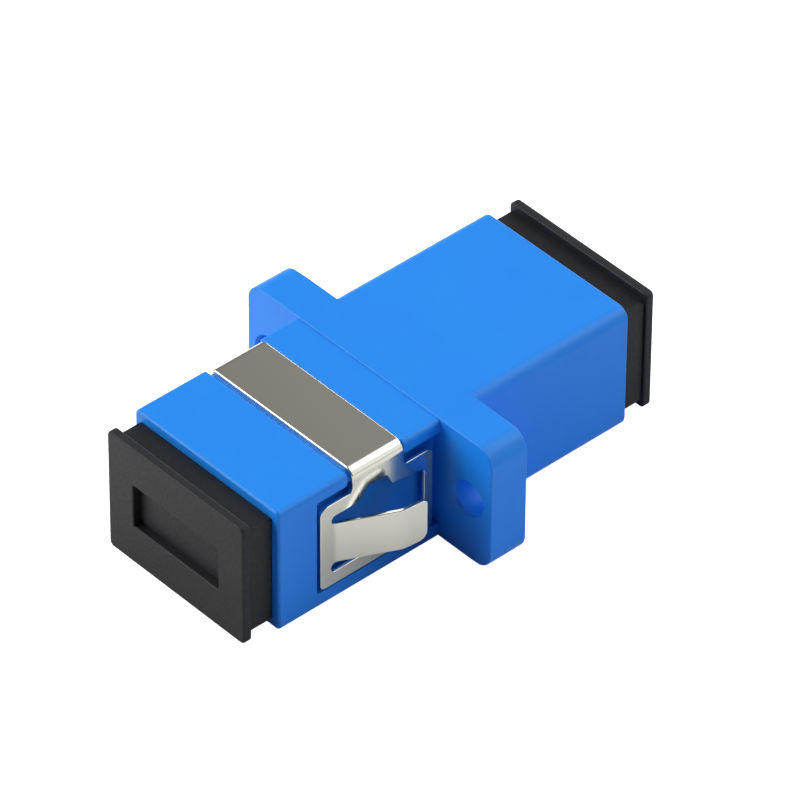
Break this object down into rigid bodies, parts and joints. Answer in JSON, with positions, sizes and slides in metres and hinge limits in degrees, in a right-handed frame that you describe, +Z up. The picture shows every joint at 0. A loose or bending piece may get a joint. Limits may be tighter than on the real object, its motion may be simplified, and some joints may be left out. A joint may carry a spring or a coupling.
{
  "type": "sc fibre adapter",
  "caption": "Flanged panel adapter that joins fibre plugs nose to nose, with a sprung metal panel clip, flange screw holes and a dust cap in each port.",
  "frame": {"origin": "on the optical axis, at the centre of the flange's front face, where the panel seats", "axes": "+X across the flange from one screw hole to the other, +Y along the optical axis from the panel to the rear port, +Z up through the clip's band"},
  "size_m": [0.022, 0.0333, 0.0094],
  "materials": {
    "housing": "satin moulded",
    "clip": "bright rolled sheet",
    "latch_holder": "natural moulded",
    "sleeve": "ground and polished",
    "cap": "matt moulded"
  },
  "bodies": {
    "adapter": {"front_housing": "housing", "rear_housing": "housing", "panel_clip": "clip", "front_latch_holder": "latch_holder", "rear_latch_holder": "latch_holder", "alignment_sleeve": "sleeve"},
    "front_cap": {"front_dust_cap": "cap"},
    "rear_cap": {"rear_dust_cap": "cap"}
  },
  "joints": [
    {"name": "front_cap_pull", "type": "slide", "parent": "adapter", "child": "front_cap", "axis": [0, -1, 0], "range_m": [0, 0.01]},
    {"name": "rear_cap_pull", "type": "slide", "parent": "adapter", "child": "rear_cap", "axis": [0, 1, 0], "range_m": [0, 0.01]}
  ]
}
